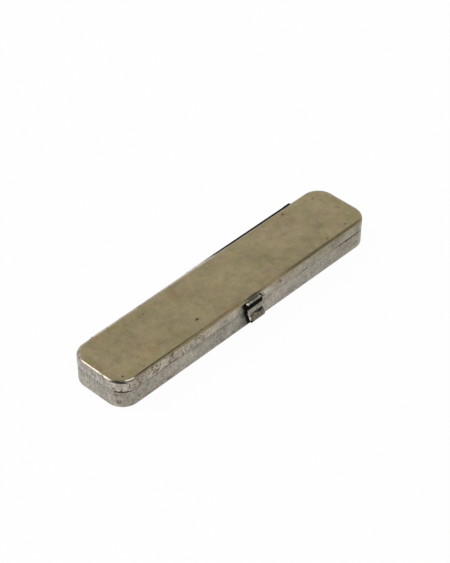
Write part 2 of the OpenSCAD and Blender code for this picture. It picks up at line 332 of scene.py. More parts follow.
def lid_metal():
    """Nickel plate, olive on top and silver on the skirt, stained where the real lid is, with painted shade and
    painted reflections by the clasp, at the near corner and along the edges.
    """
    metal, at = start_metal("lid_plate")
    x, y, z = at.axes()
    inside = stored(at, "inside")
    grain = cloud(at, 1.3, 4.0, 0.7, shift=2)
    fine = cloud(at, 0.55, 2.0, 0.6, (0.8, 0.8, 1.8), 14)
    patchy = cloud(at, 15, 6.0, 0.82, shift=7)
    # How far a place lies outside the straight-sided middle: the flat ends at about 9, the wall is at 11.2
    rim = at.vector("ABSOLUTE").vector("SUBTRACT", (88.8, 9.5, 100)).vector("MAXIMUM").vector("LENGTH", out="Value")

    # The olive top: browner and greener patches, and a haze of lighter and darker ones of every size
    brown = cloud(at, 13, 4.0, 0.6)
    top = brown.rise(0.42, 0.62).tint(shade(138, 127, 96), shade(141, 127, 100))
    green = spots(at, on_top([
        (-97, 6.5, 3, 4, 0.9), (-88, -15.5, 5, 3, 0.6), (-70, 17, 5, 3, 0.5), (90, -14, 6, 4, 0.5),
        (-91, -9, 4, 3, 0.4)]), grain, 1.0, 0.9)
    top = green.tint(top, shade(126, 121, 72))
    top = spots(at, on_top([
        (-29, 11, 6, 4, 0.6), (-5, 2, 4, 6, 0.5), (-15, -17, 7, 3, 0.5), (-72, -10, 12, 7, 0.5),
        (67, -15, 4, 3, 0.6), (66, 15, 5, 3, 0.6), (-82, 17, 5, 3, 0.9), (-92, -8, 3, 3, 0.9),
        (-97.5, 0, 2, 6, 0.7), (17, -17, 9, 3, 0.4)]), patchy, 1.6, 0.9).tint(top, shade(142, 119, 84))
    top = top.lit(1 + (patchy - 0.5) * 1.5 + (grain - 0.5) * 0.3)
    faint = spots(at, on_top([
        (-54.6, 12.4, 1.0, 1.6, 0.8), (-73.9, 14.4, 3, 2, 0.4), (-66, 10.4, 1.2, 1, 0.5),
        (-76.4, -8.9, 1.6, 1.2, 0.5), (-62.8, -5.3, 1.2, 1.2, 0.4), (-95.3, 8.6, 2.4, 1.8, 0.4),
        (35.7, 9.4, 1.8, 1.3, 0.5), (52.5, 4, 2.8, 2.2, 0.7), (24.3, 10, 2.2, 2, 0.4), (72, -6, 7, 4, 0.5),
        (46, -8.5, 7, 4, 0.4), (62.9, -9.2, 1.8, 0.9, 0.4), (65, 15.8, 2.4, 1.5, 0.9), (92.1, -2, 1.6, 1.8, 0.5),
        (90.7, 9, 2.6, 2, 0.5), (31, -11.4, 1.5, 1.2, 0.5)]), grain, 1.1, 0.9)
    top = (faint * 0.75).tint(top, shade(106, 96, 66))
    dark = spots(at, on_top([
        (-51, 13.3, 1.2, 0.8, 1.0), (-33.5, -11, 1.9, 1.1, 1.0), (-92.8, -14.2, 1.4, 1.1, 0.9),
        (-37.8, -18.5, 0.8, 0.6, 0.8), (-79.6, -16.4, 1.4, 0.8, 0.5), (83.6, -15.6, 1.2, 0.8, 0.8),
        (65.2, 16.3, 1.1, 0.8, 0.8), (88, 13.5, 1.1, 0.8, 0.9), (66.8, -17, 1.5, 0.9, 0.6),
        (92.2, -3, 1.0, 0.8, 0.6)]), grain, 1.0, 0.8)
    top = dark.tint(top, shade(60, 50, 33))
    pits = cloud(at, 1.0, 2.0, 0.6, shift=6).rise(0.64, 0.72) * cloud(at, 8, 2.0, shift=8).rise(0.4, 0.6)
    top = (pits * 0.5).tint(top, shade(96, 84, 58))
    # Tarnish and painted dark reflection on the front edge: a hard thin line at left, a broad soft band at right
    line = (y + 18.7).of("ABSOLUTE").rise(0.55, 0.2) * x.rise(-90, -87) * x.rise(-10, -75).most(
        x.rise(-8, -20) * 0.4)
    band = (y + 19.2).of("ABSOLUTE").rise(1.1, 0.4) * x.rise(24, 42)
    edged = line.most(band * 0.46) * (grain + 0.35)
    top = edged.tint(top, shade(46, 43, 24))
    # Painted light: the round front edge lighter towards the left, where it shows a lighter reflection
    top = top.lit(1 + z.rise(18.47, 18.30) * z.rise(17.4, 17.9) * y.rise(-15, -17) * x.rise(45, 22) * 0.26)

    # The skirt: silver, corroded in brown specks at its left end, duller and greener at its right end
    dull = (x + (patchy - 0.5) * 120).rise(-10, 60)
    skirt = dull.tint(shade(162, 153, 137), shade(136, 130, 112))
    skirt = z.rise(14.0, 12.0).tint(skirt, shade(148, 140, 126))
    # Painted light: the near end's wall lighter, and its front corner lighter still, for the light they reflect
    skirt = x.rise(-96, -99.5).tint(skirt, shade(168, 162, 153))
    nearest = x.rise(-90, -94) * y.rise(-10, -13)
    skirt = nearest.tint(skirt, shade(188, 181, 168))
    worn_plate = cloud(at, 9, 6.0, 0.88, (1.2, 1.2, 1.5), 3)
    skirt = skirt.lit(1 + (worn_plate - 0.5) * 2.2 + (grain - 0.5) * 0.6 + (fine - 0.5) * 1.2)
    glints = cloud(at, 1.2, 3.0, 0.8, (1, 1, 0.8), 23).rise(0.58, 0.66) * x.rise(-4, -30)
    skirt = (glints * 0.6).tint(skirt, shade(206, 198, 184))
    sallow = spots(at, [((92, -20, 15.4), (7, 6, 2.4), 0.7), ((21, -20.7, 16.5), (2.4, 2, 2.4), 0.5)],
                   grain, 0.8, 0.9)
    skirt = sallow.tint(skirt, shade(142, 133, 98))
    smear = spots(at, [((11.2, -20.7, 16.4), (3, 2, 2), 0.9), ((15, -20.7, 15.4), (0.9, 2, 2.4), 0.6)], grain, 0.9)
    skirt = smear.tint(skirt, shade(172, 169, 156))
    corroded = cloud(at, 1.6, 5.0, 0.8, (1.0, 1.0, 1.2), 9).rise(0.49, 0.58)
    corroded = corroded * x.rise(-12, -45) * (0.35 + 0.65 * cloud(at, 7, 2.0, shift=5).rise(0.40, 0.54))
    skirt = (corroded * 0.9).tint(skirt, shade(84, 68, 56))
    rust = spots(at, [((-73.5, -20.7, 14.1), (2.4, 2, 1.3), 0.9), ((-76.5, -20.7, 15), (1.2, 2, 0.8), 0.6),
                      ((-64, -20.7, 12.8), (8, 2, 0.6), 1.0), ((-48, -20.7, 14.1), (1.6, 2, 0.9), 0.6),
                      ((23.4, -20.7, 15.6), (1.2, 2, 1.0), 1.0)], grain, 1.1, 0.7)
    skirt = (rust * 0.85).tint(skirt, shade(96, 70, 50))
    ochre = spots(at, [((22.6, -20.7, 16.7), (1.8, 2, 1.2), 1.0), ((-73, -20.7, 14.6), (3.4, 2, 1.2), 0.5)],
                  grain, 0.6)
    skirt = (ochre * 0.8).tint(skirt, shade(116, 95, 66))
    grime = spots(at, [((-21.4, -20.7, 14.9), (1.8, 2, 1.2), 0.7), ((-31.7, -20.7, 16.6), (0.9, 2, 0.5), 0.7),
                       ((-9.5, -20.7, 14.5), (4.0, 3, 4), 0.6), ((9.0, -20.7, 15), (1.0, 3, 2.4), 0.6),
                       ((88, -20.7, 14.5), (4, 3, 2), 0.25), ((-98.0, -16.5, 12.1), (3.4, 3.4, 0.35), 1.0),
                       ((-100, 7, 16.2), (1, 2, 0.6), 0.6), ((-100, -4.5, 14), (1, 1.2, 0.9), 0.7),
                       ((-100, -5.8, 17.4), (1, 1.8, 0.5), 0.6), ((44, -20.7, 12), (4, 3, 0.4), 1.0)],
                  grain, 0.9, 0.8)
    skirt = (grime * 0.85).tint(skirt, shade(74, 67, 54))
    # Painted shadow of the clasp down the skirt: a soft dark fringe and a black core
    clasp_shadow_core = clasp_shadow(x, y, z, grain, -2.3, -0.7) * z.rise(12.0, 12.2)
    skirt = (clasp_shadow(x, y, z, grain, -4.2, -1.6) * 0.6).tint(skirt, shade(66, 62, 50))
    skirt = clasp_shadow_core.tint(skirt, shade(20, 18, 13))
    hem = (x.rise(-92, -94) * y.rise(-13, -15)).most(x.rise(70, 78) * y.rise(-14, -18))
    hem = hem * z.rise(12.4, 12.2) * z.rise(12.0, 12.1)
    skirt = (hem * 0.75).tint(skirt, shade(62, 54, 42))

    # Olive wraps over the long front edge, and stops short at the ends and the back
    ends = x.rise(-84, -90).most(x.rise(93, 97) * y.rise(-14, -9)).most(y.rise(14, 17))
    over_edge = (1 - ends) * (0.75 - 0.6 * (x + (patchy - 0.5) * 25).rise(-50, -68) * y.rise(0, -10))
    olive = (z + (grain - 0.5) * 0.5 + over_edge).rise(18.0, 18.48)
    olive = olive * (1 - ends * (rim + (grain - 0.5) * 0.5).rise(8.8, 9.4) * x.rise(-99, -60).most(y.rise(8, 14)))
    colour = olive.tint(skirt, top)
    below = z.rise(18.49, 18.42)
    # Painted shade on the round front edge behind the clasp's knuckle
    shade_behind_knuckle = spots(at, [((2, -19.8, 18.05), (8.4, 1.6, 0.75), 1.0)], grain, 0.5, 0.5) * below
    colour = (shade_behind_knuckle * 0.85).tint(colour, shade(62, 62, 50))
    # On the near corner the round edge has a painted dark reflection in the middle and a painted highlight beside it.
    # The dark runs as far round as a place lies out from the corner's centre, 78.55 along its diagonal
    diagonal = (-0.824, -0.566, 0)
    outward = at.vector("DOT_PRODUCT", diagonal, out="Value") - 78.55
    corner = outward.rise(9.4, 9.9) * rim.rise(9.45, 9.85) * rim.rise(11.1, 10.6)
    colour = (corner * 0.92).tint(colour, shade(44, 43, 36))
    corner_highlight = rim.rise(8.95, 9.2) * rim.rise(9.95, 9.6) * x.rise(-94.4, -93.6) * x.rise(-88.4, -90) * y.rise(0, -10)
    colour = (corner_highlight * 0.95).tint(colour, shade(242, 238, 226))
    # Grease from the hinge and a painted dark reflection of it along the round back edge, on its right half
    greasy = z.rise(18.26, 18.1) * y.rise(18.5, 19.3) * (x + (grain - 0.5) * 20).rise(6, 22) * x.rise(77, 74)
    colour = (greasy * 0.9).tint(colour, shade(30, 28, 22))
    within = inside.rise(0.4, 0.6)
    colour = within.tint(colour, shade(176, 171, 158))
    hair = scratches(at, "Z_AXIS", 24, 14, 0.22, 0.06).most(scratches(at, "Z_AXIS", -58, 9, 0.18, 0.05, 5))
    worn = hair * z.rise(17.9, 18.3)
    colour = (worn * 0.18).tint(colour, shade(184, 178, 158))
    bare = corroded.most(rust) * (1 - olive) * (1 - inside)
    stained = (dark + faint * 0.4) * olive
    roughness = (0.22 + olive * 0.08 + (grain - 0.5) * 0.25 + (patchy - 0.5) * 0.2 + stained * 0.15 + bare * 0.25
                 + grime * 0.1)
    metallic = 1 - (stained * 0.4).most(bare * 0.4).most(grime * (1 - olive) * 0.3).most(corner_highlight * 0.9)
    height = 0.6 + (grain - 0.5) * 0.4 - pits * 0.2 - stained * 0.15 - bare * 0.3 - worn * 0.1
    # Dull black over the clasp's painted shadow, and over the grease and painted reflection on the back edge
    return finish_metal(metal, colour, roughness, metallic, height, 0.00006,
                        (clasp_shadow(x, y, z, grain, -1.9, 0.1) * (1 - olive)).most(greasy) * (1 - within) * 0.9)


pan_tree = pressed_pan_tree()
pressed_lid = shaped("pressed_lid", pan_tree, {
    "Length": lid_high.x - lid_low.x, "Width": lid_high.y - lid_low.y, "Height": lid_high.z - lid_low.z,
    "Corner radius": lid_corner, "Edge radius": edge_round, "Edge run": edge_run, "Sheet": sheet, "Step": 0.0,
    "Step height": 0.0, "Face height": lid_high.z, "Up": -1.0, **squeezed, "Dent depth": dent_depth,
    "Dent seed": 0.31, "Metal": lid_metal()})
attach(pressed_lid, "lid")
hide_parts("lid_pan")

# The base
# The lower pan of the same plated sheet. Its wall is set in a little at the seam and runs on up inside the lid's
# skirt as a rim. It has kept more of its silver than the lid, with dirt along the seam and scrapes low down.
base_low, base_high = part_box("base_pan")
overhang = base_low.y - lid_low.y
foot_round, wall_step = 0.0010, 0.0003
step_height = lid_low.z - 0.0006


def base_metal():
    """Silver plate, streaked and scraped, with dirt under the lid's edge and round the clasp, and the clasp's
    painted shadow and a lighter near end as painted light.
    """
    metal, at = start_metal("base_plate")
    x, y, z = at.axes()
    inside = stored(at, "inside")
    grain = cloud(at, 1.3, 4.0, 0.7, shift=12)
    worn_plate = cloud(at, 10, 6.0, 0.85, (1.3, 1.3, 1.2), 13)
    fine = cloud(at, 0.55, 2.0, 0.6, (0.8, 0.8, 2.2), 24)
    colour = z.rise(1.5, 9.0).tint(shade(144, 137, 126), shade(150, 144, 131))
    colour = (x + (worn_plate - 0.5) * 90).rise(58, 82).tint(colour, shade(138, 131, 117))
    # Painted light: the near end's wall lighter, for the light it reflects
    colour = x.rise(-96, -99).tint(colour, shade(160, 154, 143))
    colour = colour.lit(1 + (worn_plate - 0.5) * 2.2 + (fine - 0.5) * 1.8)
    streak = cloud(at, 1.4, 4.0, 0.7, (0.9, 0.9, 2.6), 17).rise(0.54, 0.68)
    colour = (streak * 0.45).tint(colour, shade(112, 103, 88))
    smudge = spots(at, [((-11, -20.2, 3.5), (9, 4, 6.5), 0.6), ((-7, -20.2, 10), (3.5, 4, 4), 0.6),
                        ((-6.5, -20.2, 4), (3, 4, 3), 0.6), ((10.0, -20.2, 9), (3.0, 4, 4), 0.4),
                        ((-98, -16, 4.2), (3, 4, 2.4), 0.8), ((-98.5, -14.5, 9), (1.4, 3, 2.0), 0.7),
                        ((88, -20.2, 4.5), (4, 3, 2.2), 0.5)], grain, 0.8, 0.9)
    colour = (smudge * 0.85).tint(colour, shade(78, 73, 62))
    dark = spots(at, [((-65, -20, 2.6), (2.8, 2, 1.2), 0.8), ((-70.5, -20, 2.4), (1.2, 2, 0.8), 0.5),
                      ((-87, -20, 4.8), (1.6, 3, 1.4), 0.7), ((-81, -20.2, 8), (3, 2, 2.4), 0.35),
                      ((-30, -20.2, 10.2), (1.1, 2, 0.5), 0.9), ((79.3, -20.4, 10.9), (2.2, 2, 0.9), 1.0),
                      ((88.8, -20.4, 5.4), (1.2, 2, 1.1), 0.9), ((75, -20.4, 11.2), (1.6, 2, 0.6), 0.7),
                      ((-99.4, 6.2, 10.3), (2, 1.6, 0.9), 0.7), ((-99.4, 8.8, 8.6), (2, 1.0, 1.2), 0.6),
                      ((-99.4, 11, 6.4), (2, 0.8, 1.6), 0.5), ((-99.4, 6.4, 5.2), (2, 1.2, 1.4), 0.5),
                      ((-99.4, -1.8, 10.4), (2, 1.4, 1.0), 0.4), ((-99.4, -10.5, 9.8), (2, 1.4, 0.8), 0.6)],
                 grain, 1.0, 0.8)
    colour = (dark * 0.8).tint(colour, shade(76, 70, 56))
    seam = z.rise(10.75, 11.4) * (0.35 + 0.65 * x.rise(66, 74).most(spots(at, [
        ((44, -20.2, 12), (4, 3, 3), 1.0), ((-98, -18, 12), (5, 6, 3), 1.0)], grain, 0.8, 0.5)))
    colour = (seam * 0.9).tint(colour, shade(70, 62, 50))
    crisp = z.rise(10.9, 11.2) * (x.rise(-91, -93) * y.rise(-13, -15)).most(x.rise(72, 80) * y.rise(-12, -16))
    colour = (crisp * 0.9).tint(colour, shade(40, 35, 27))
    # Painted shadow of the clasp down the wall: a wide dark fringe and a black core
    clasp_shadow_core = clasp_shadow(x, y, z, grain, -2.3, -0.7)
    colour = (clasp_shadow(x, y, z, grain, -8.0, -1.6) * 0.75).tint(colour, shade(66, 62, 50))
    colour = clasp_shadow_core.tint(colour, shade(20, 18, 13))
    within = inside.rise(0.4, 0.6)
    colour = within.tint(colour, shade(176, 171, 158))
    colour = colour.lit(1 + (grain - 0.5) * 1.0)
    scrape = scratches(at, "Y_AXIS", 38, 9, 0.22, 0.04, 3) * z.rise(14, 9)
    colour = (scrape * 0.25).tint(colour, shade(196, 190, 176))
    gouge = scratches(at, "Y_AXIS", 14, 8, 0.3, 0.06, 9) * x.rise(60, 76) * z.rise(6, 8)
    colour = (gouge * 0.7).tint(colour, shade(76, 66, 54))
    roughness = 0.34 + (grain - 0.5) * 0.3 + streak * 0.12 + dark.most(clasp_shadow_core) * 0.2 - scrape * 0.08
    metallic = 1 - (dark * 0.4).most(smudge * 0.3).most(seam * 0.3) * (1 - clasp_shadow_core)
    height = 0.6 + (grain - 0.5) * 0.45 - dark * 0.15 - scrape * 0.15 - gouge * 0.3 - streak * 0.1
    # Dull black over the clasp's painted shadow
    return finish_metal(metal, colour, roughness, metallic, height, 0.00006,
                        clasp_shadow(x, y, z, grain, -1.9, 0.1) * (1 - within) * 0.95)


pressed_base = shaped("pressed_base", pan_tree, {
    "Length": base_high.x - base_low.x, "Width": base_high.y - base_low.y, "Height": base_high.z - base_low.z,
    "Corner radius": lid_corner - overhang, "Edge radius": foot_round, "Edge run": foot_round, "Sheet": sheet,
    "Step": wall_step, "Step height": step_height, "Face height": base_low.z, "Up": 1.0, **squeezed,
    "Dent depth": dent_depth, "Dent seed": 0.83, "Metal": base_metal()})
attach(pressed_base, "base")
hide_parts("base_pan")

# The lid's half of the hinge
# A strip of steel soldered along the lid's back wall, cut out at the middle and rolled round the hinge's wire in two
# long knuckles. It was rolled by hand, a little tighter at its left end, and its right half is black with grease.
axis = (0.0231, 0.0122)
leaf_low, leaf_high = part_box("hinge_lid_leaf")
knuckle_r, tight_r = 0.00197, 0.00148
strip_sheet, rolled_sheet, tight_sheet = 0.0006, 0.00056, 0.00022
# The roll tightens towards the left between these two places
loose_x, tight_x = 0.018, -0.030
# From the middle of the case: where the knuckles start, and where the solder starts and ends
knuckle_gap, solder_start, solder_end = 0.00615, 0.0073, 0.0728
# The angles about the wire where the sheet comes on to the roll and where its edge ends
lid_on, lid_off = 206, 488
broken_edge = 0.00008


def bulge_at(x):
    """How far the squeezed back wall stands out at x."""
    return bulge_out * math.exp(-(((x - bulge_x) / bulge_reach) ** 2))


def soft_step(value, low, high):
    """0 at low and 1 at high, with soft ends."""
    share = min(1.0, max(0.0, (value - low) / (high - low)))
    return share * share * (3 - 2 * share)


def arc(centre, radius, start, end, step=12):
    """Points on an arc, in degrees, as (across, up)."""
    count = max(2, round(abs(end - start) / step))
    angles = [math.radians(start + (end - start) * i / count) for i in range(count + 1)]
    return [(centre[0] + radius * math.cos(a), centre[1] + radius * math.sin(a)) for a in angles]


def ease(start, start_way, end, end_way, count=6):
    """Points on a smooth bend between two points, leaving and arriving in the given ways."""
    points = []
    for i in range(1, count):
        t = i / count
        a, b, c, d = 2 * t**3 - 3 * t**2 + 1, t**3 - 2 * t**2 + t, 3 * t**2 - 2 * t**3, t**3 - t**2
        points.append(tuple(a * start[k] + b * start_way[k] + c * end[k] + d * end_way[k] for k in (0, 1)))
    return points


def bent_sheet(name, columns, edge, metal):
    """Sheet metal bent along a path. Each column is the path at one place along the case: a list of
    (x, y, z, thickness) down the middle of the sheet. The cut edges are broken by a small bevel."""
    points, rows = [], len(columns[0])
    for column in columns:
        places = [Vector(p[:3]) for p in column]
        outer, inner = [], []
        for i, place in enumerate(places):
            along = places[min(i + 1, rows - 1)] - places[max(i - 1, 0)]
            side = Vector((0, along.z, -along.y)).normalized() * column[i][3] / 2
            outer.append(place + side)
            inner.append(place - side)
        points += outer + inner[::-1]
    ring = 2 * rows
    faces = [(c * ring + i, c * ring + (i + 1) % ring, (c + 1) * ring + (i + 1) % ring, (c + 1) * ring + i)
             for c in range(len(columns) - 1) for i in range(ring)]
    last = (len(columns) - 1) * ring
    for i in range(rows - 1):
        faces.append((i, ring - 1 - i, ring - 2 - i, i + 1))
        faces.append((last + i, last + i + 1, last + ring - 2 - i, last + ring - 1 - i))
    mesh = bpy.data.meshes.new(name)
    mesh.from_pydata(points, [], faces)
    work = bmesh.new()
    work.from_mesh(mesh)
    bmesh.ops.recalc_face_normals(work, faces=work.faces)
    work.to_mesh(mesh)
    work.free()
    mesh.shade_smooth()
    mesh.materials.append(metal)
    piece = bpy.data.objects.new(name, mesh)
    bpy.context.scene.collection.objects.link(piece)
    if edge:
        bevel = piece.modifiers.new("broken edge", "BEVEL")
        bevel.width, bevel.segments, bevel.limit_method, bevel.angle_limit = edge, 2, "ANGLE", math.radians(50)
    piece.modifiers.new("flat faces", "WEIGHTED_NORMAL").keep_sharp = True
    return plain_mesh(piece)


def joined(name, pieces):
    """Several meshes of one metal as one piece."""
    work = bmesh.new()
    for piece in pieces:
        work.from_mesh(piece.data)
    mesh = bpy.data.meshes.new(name)
    work.to_mesh(mesh)
    work.free()
    mesh.shade_smooth()
    for metal in pieces[0].data.materials:
        mesh.materials.append(metal)
    for piece in pieces:
        bpy.data.objects.remove(piece)
    whole = bpy.data.objects.new(name, mesh)
    bpy.context.scene.collection.objects.link(whole)
    whole.modifiers.new("flat faces", "WEIGHTED_NORMAL")
    return plain_mesh(whole)


def solder_bead_tree():
    """A lumpy bead of solder along a wall, half sunk in it and closed to a point at both ends."""
    tree, given = start_shape("solder_bead", [
        "Start", "End", "Wall", "Height", "Bulge out", "Bulge at", "Bulge reach", "Bead radius", "Unevenness",
        "Seed"])
    along, around = 220, 10
    blank = given.node("GeometryNodeMeshGrid", {}, {
        "Size X": float(along), "Size Y": float(around), "Vertices X": along + 1, "Vertices Y": around + 1})
    place = given.node("GeometryNodeInputPosition")
    share, turn, _ = place.axes()
    share, turn = share / along + 0.5, turn * (2 * math.pi / around)
    at_x = given.pick("Start") + (given.pick("End") - given.pick("Start")) * share
    where = place.node("ShaderNodeCombineXYZ", {}, {"X": at_x, "Y": given.pick("Seed")})
    lumps = where.node("ShaderNodeTexNoise", {}, {"Vector": where, "Scale": 420.0, "Detail": 2.0})
    closing = (share.rise(0, 0.012) * share.rise(1, 0.988)).of("SQRT")
    radius = given.pick("Bead radius") * closing * (1 + (lumps - 0.5) * given.pick("Unevenness") * 2)
    off = (at_x - given.pick("Bulge at")) / given.pick("Bulge reach")
    wall = given.pick("Wall") + given.pick("Bulge out") * (0 - off * off).of("EXPONENT")
    moved = place.node("ShaderNodeCombineXYZ", {}, {
        "X": at_x, "Y": wall + radius * turn.of("COSINE"), "Z": given.pick("Height") + radius * turn.of("SINE")})
    marked = blank.node("GeometryNodeStoreNamedAttribute", {"data_type": "FLOAT", "domain": "POINT"},
                        {"Geometry": blank, "Name": "solder", "Value": 1.0})
    drawn = marked.node("GeometryNodeSetPosition", {}, {"Geometry": marked, "Position": moved})
    closed = drawn.node("GeometryNodeMergeByDistance", {}, {"Geometry": drawn, "Distance": 0.000001})
    end_shape(closed, given)
    return tree


bead_tree = solder_bead_tree()


def hinge_metal():
    """Plated steel, still silver at its left end, and black with old grease from the middle to its right end."""
    metal, at = start_metal("hinge_steel")
    x, y, z = at.axes()
    fine = cloud(at, 0.9, 4.0, 0.7, (1.5, 1, 1), 33)
    mottle = cloud(at, 2.6, 4.0, 0.65, (2.5, 1, 1), 31)
    colour = mottle.rise(0.40, 0.64).tint(shade(196, 192, 182), shade(222, 219, 210))
    colour = y.rise(22.0, 21.4).tint(colour, mottle.rise(0.35, 0.65).tint(shade(132, 126, 113), shade(168, 162, 149)))
    greasy = (x + (mottle - 0.5) * 30).rise(2, 18) * (0.4 + 0.6 * y.rise(21.3, 22.0).most(mottle.rise(0.45, 0.6)))
    colour = (greasy * 0.96).tint(colour, shade(30, 28, 23))
    rust = cloud(at, 1.6, 4.0, 0.7, (1.5, 1, 1), 35).rise(0.56, 0.66)
    colour = (rust * 0.6).tint(colour, shade(74, 54, 36))
    rubbed = y.rise(24.5, 25.0) * z.rise(12.6, 11.8) * cloud(at, 3.0, 3.0, 0.6, (3, 1, 1), 37).rise(0.42, 0.58)
    colour = (rubbed * 0.75).tint(colour, shade(150, 145, 133))
    solder = stored(at, "solder")
    colour = (solder * 0.8).tint(colour, shade(138, 137, 132))
    roughness = 0.36 + (fine - 0.5) * 0.3 + rust * 0.25 + greasy * 0.12 - rubbed * 0.14
    metallic = 1 - rust * 0.5
    height = 0.5 + (fine - 0.5) * 0.6 + rust * 0.3
    return finish_metal(metal, colour.lit(1 + (fine - 0.5) * 0.4), roughness, metallic, height, 0.00004,
                        greasy * (1 - rubbed) * 0.85)


hinge_steel = hinge_metal()


def lid_leaf_path(x):
    """From the top of the leaf down the wall, then under and round the wire."""
    tight = soft_step(x, loose_x, tight_x)
    outside = knuckle_r + (tight_r - knuckle_r) * tight
    thick = rolled_sheet + (tight_sheet - rolled_sheet) * tight
    radius = outside - thick / 2
    wall = leaf_low.y + bulge_at(x) + strip_sheet / 2
    top = [(wall, leaf_high.z), (wall, leaf_high.z - 0.0002), (wall, 0.0150), (wall, 0.0140)]
    roll = arc(axis, radius, lid_on, lid_off)
    way = arc((0, 0), 0.0012, lid_on + 90, lid_on + 90)[0]
    bend = ease(top[-1], (0, -0.0016), roll[0], way)
    return [(x, y, z, strip_sheet) for y, z in top] + [(x, y, z, thick) for y, z in bend + roll]


stations = [knuckle_gap + (leaf_high.x - knuckle_gap) * i / 16 for i in range(17)]
bead = {"Bead radius": 0.00052, "Unevenness": 0.6, "Metal": hinge_steel, **squeezed}
rolled_lid_leaf = joined("rolled_lid_leaf", [
    bent_sheet("left_knuckle", [lid_leaf_path(-x) for x in stations], broken_edge, hinge_steel),
    bent_sheet("right_knuckle", [lid_leaf_path(x) for x in stations], broken_edge, hinge_steel)] + [
        shaped("lid_solder", bead_tree, {
            "Start": side * solder_start, "End": side * solder_end, "Wall": lid_high.y, "Height": leaf_high.z,
            "Seed": 0.4 * side, **bead}) for side in (-1, 1)])
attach(rolled_lid_leaf, "lid")
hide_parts("hinge_lid_leaf")

# The base's half of the hinge
# The same steel strip, soldered along the base's back wall. Three short tongues of it turn out under the barrel and
# roll over the wire: one in the middle and a stouter one at each end.
base_leaf_low, base_leaf_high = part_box("hinge_base_leaf")
middle_half, end_length = 0.006, 0.0044
# Outer radius and thickness of the left and the right end tongue
end_sizes = {-1: (0.0015, 0.00024), 1: (0.00212, 0.00058)}
leaf_middle = base_low.y * -1 + strip_sheet / 2
base_on, base_off = 262, 526
base_solder_end = 0.0748


def base_leaf_path(x, outside, thick):
    """From low on the wall up, out under the barrel, and round over the wire."""
    radius = outside - thick / 2
    wall = leaf_middle + bulge_at(x)
    low = [(wall, 0.0080), (wall, 0.0082), (wall, 0.0090)]
    roll = arc(axis, radius, base_on, base_off)
    way = arc((0, 0), 0.0026, base_on + 90, base_on + 90)[0]
    bend = ease(low[-1], (0, 0.0026), roll[0], way)
    return [(x, y, z, thick) for y, z in low + bend + roll]


strip_top = axis[1] - 0.0005
strip_rows = (base_leaf_low.z, base_leaf_low.z + 0.0002, 0.009, strip_top - 0.0002, strip_top)
strip = []
for i in range(41):
    x = base_leaf_low.x + (base_leaf_high.x - base_leaf_low.x) * i / 40
    strip.append([(x, leaf_middle + bulge_at(x), z, strip_sheet) for z in strip_rows])
rolled = [bent_sheet("strip", strip, broken_edge, hinge_steel)]
rolled.append(bent_sheet("middle_knuckle", [
    base_leaf_path(middle_half * i / 3, knuckle_r, rolled_sheet) for i in range(-3, 4)], broken_edge, hinge_steel))
for side in (-1, 1):
    outer = base_leaf_high.x * side
    rolled.append(bent_sheet("end_knuckle", [
        base_leaf_path(outer - side * end_length * i / 3, *end_sizes[side]) for i in range(4)],
        broken_edge * 1.5, hinge_steel))
rolled.append(shaped("base_solder", bead_tree, {
    "Start": -base_solder_end, "End": base_solder_end, "Wall": base_high.y + wall_step, "Height": base_leaf_low.z,
    "Seed": 0.7, **bead}))
rolled_base_leaf = joined("rolled_base_leaf", rolled)
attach(rolled_base_leaf, "base")
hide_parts("hinge_base_leaf")

# The clasp's plate
# Plated strip soldered to the middle of the lid's skirt. Two ears of it roll outwards over the clasp's pin.
plate_low, plate_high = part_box("clasp_plate")
tongue_low, tongue_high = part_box("clasp_tongue")
clasp_x = (plate_low.x + plate_high.x) / 2
clasp_half = (plate_high.x - plate_low.x) / 2
pin_depth, pin_z = 0.00135, 0.0172
clasp_sheet = 0.0004
# Both rolls on the pin have this radius down the middle of the sheet, and end at this angle
roll_r, roll_end = 0.00065, -132
ear_width = 0.0017


